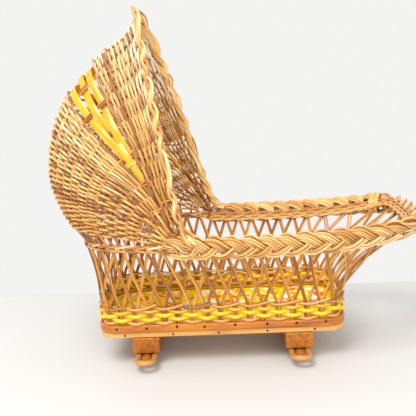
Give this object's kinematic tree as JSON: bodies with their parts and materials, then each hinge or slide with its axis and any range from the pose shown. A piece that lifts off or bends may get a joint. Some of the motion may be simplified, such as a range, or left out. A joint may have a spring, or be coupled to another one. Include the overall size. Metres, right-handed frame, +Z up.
{
  "type": "doll cradle",
  "caption": "Wicker doll's cradle with an arched woven hood, open lattice sides, a plaited rim and a wooden base on curved rocker feet.",
  "frame": {"origin": "centre of the footprint, on the ground plane under the rockers", "axes": "+X towards the foot end, +Y towards the side with the rim binding, +Z up"},
  "size_m": [0.4546, 0.213, 0.4265],
  "materials": {
    "cane": "lightly varnished willow cane",
    "yellow_paint": "gloss yellow painted split cane",
    "gold_paint": "worn yellow paint over cane",
    "base_wood": "satin varnished softwood",
    "strip_wood": "satin varnished bent wood",
    "varnished_wood": "gloss brown varnish",
    "printed_liner": "printed cotton, large floral blotches"
  },
  "bodies": {
    "cradle": {"base_board": "base_wood", "base_edge_strip": "strip_wood", "floor_board": "base_wood", "rocker_block_head": "varnished_wood", "rocker_block_foot": "varnished_wood", "rocker_rod_head": "cane", "rocker_rod_foot": "cane", "rocker_bar_head": "strip_wood", "rocker_bar_foot": "strip_wood", "weave_row_natural_low": "cane", "weave_row_yellow_low": "yellow_paint", "weave_row_yellow_mid": "yellow_paint", "weave_row_gold": "gold_paint", "weave_row_waling": "cane", "near_lattice": "cane", "far_lattice": "cane", "head_lattice": "cane", "foot_lattice": "cane", "rim_plait": "cane", "rim_binding": "cane", "head_waling": "cane", "hood_lower_weave": "cane", "hood_yellow_strip_1": "yellow_paint", "hood_yellow_strip_2": "yellow_paint", "hood_yellow_strip_3": "yellow_paint", "hood_front_weave": "cane", "hood_edge_braid": "cane", "hood_stake_1": "cane", "hood_stake_2": "cane", "hood_stake_3": "cane", "hood_stake_4": "cane", "hood_stake_5": "cane", "hood_stake_6": "cane", "hood_stake_7": "cane", "hood_stake_8": "cane", "hood_stake_9": "cane"},
    "liner": {"floor_liner": "printed_liner"}
  },
  "joints": [
    {"name": "liner_lift", "type": "slide", "parent": "cradle", "child": "liner", "axis": [0, 0, 1], "range_m": [0, 0.09]}
  ]
}
